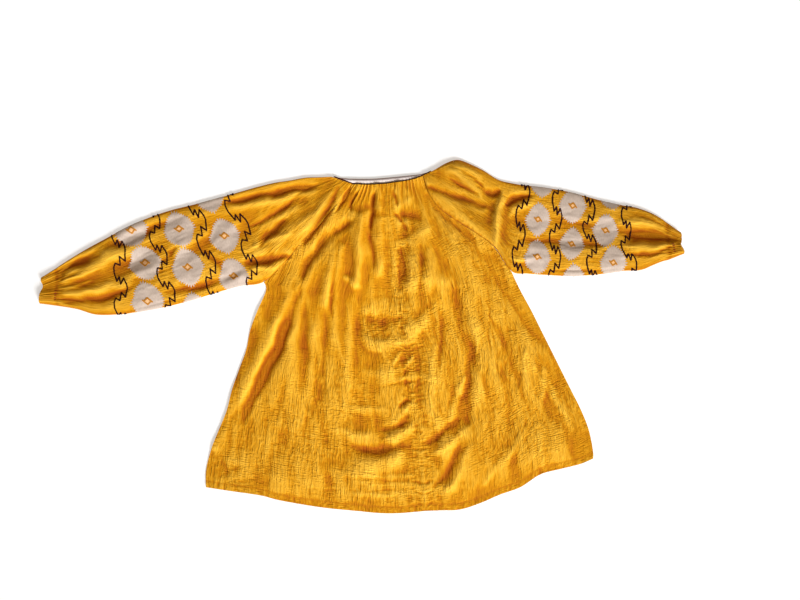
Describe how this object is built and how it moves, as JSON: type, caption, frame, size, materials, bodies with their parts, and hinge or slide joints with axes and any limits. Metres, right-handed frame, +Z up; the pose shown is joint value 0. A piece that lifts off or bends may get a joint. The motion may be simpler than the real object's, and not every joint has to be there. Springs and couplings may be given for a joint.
{
  "type": "embroidered folk blouse",
  "caption": "Mustard cotton folk blouse laid flat, with a gathered neck, raglan sleeves gathered at the wrists and embroidered sleeve bands.",
  "frame": {"origin": "middle of the blouse's box, on the surface that it lies on", "axes": "+X across the blouse, towards the sleeve at the right of the view; +Y from the hem to the neck; +Z up from the surface"},
  "size_m": [1.4104, 0.7764, 0.0152],
  "materials": {
    "cotton": "matt crinkled mustard cotton",
    "tape": "matt pale cotton tape",
    "piping": "matt dark burgundy cord"
  },
  "bodies": {
    "root": {"front_left": "cotton", "front_right": "cotton", "back": "cotton", "sleeve_left": "cotton", "sleeve_right": "cotton", "neck_facing": "tape", "neck_piping": "piping"}
  },
  "joints": []
}
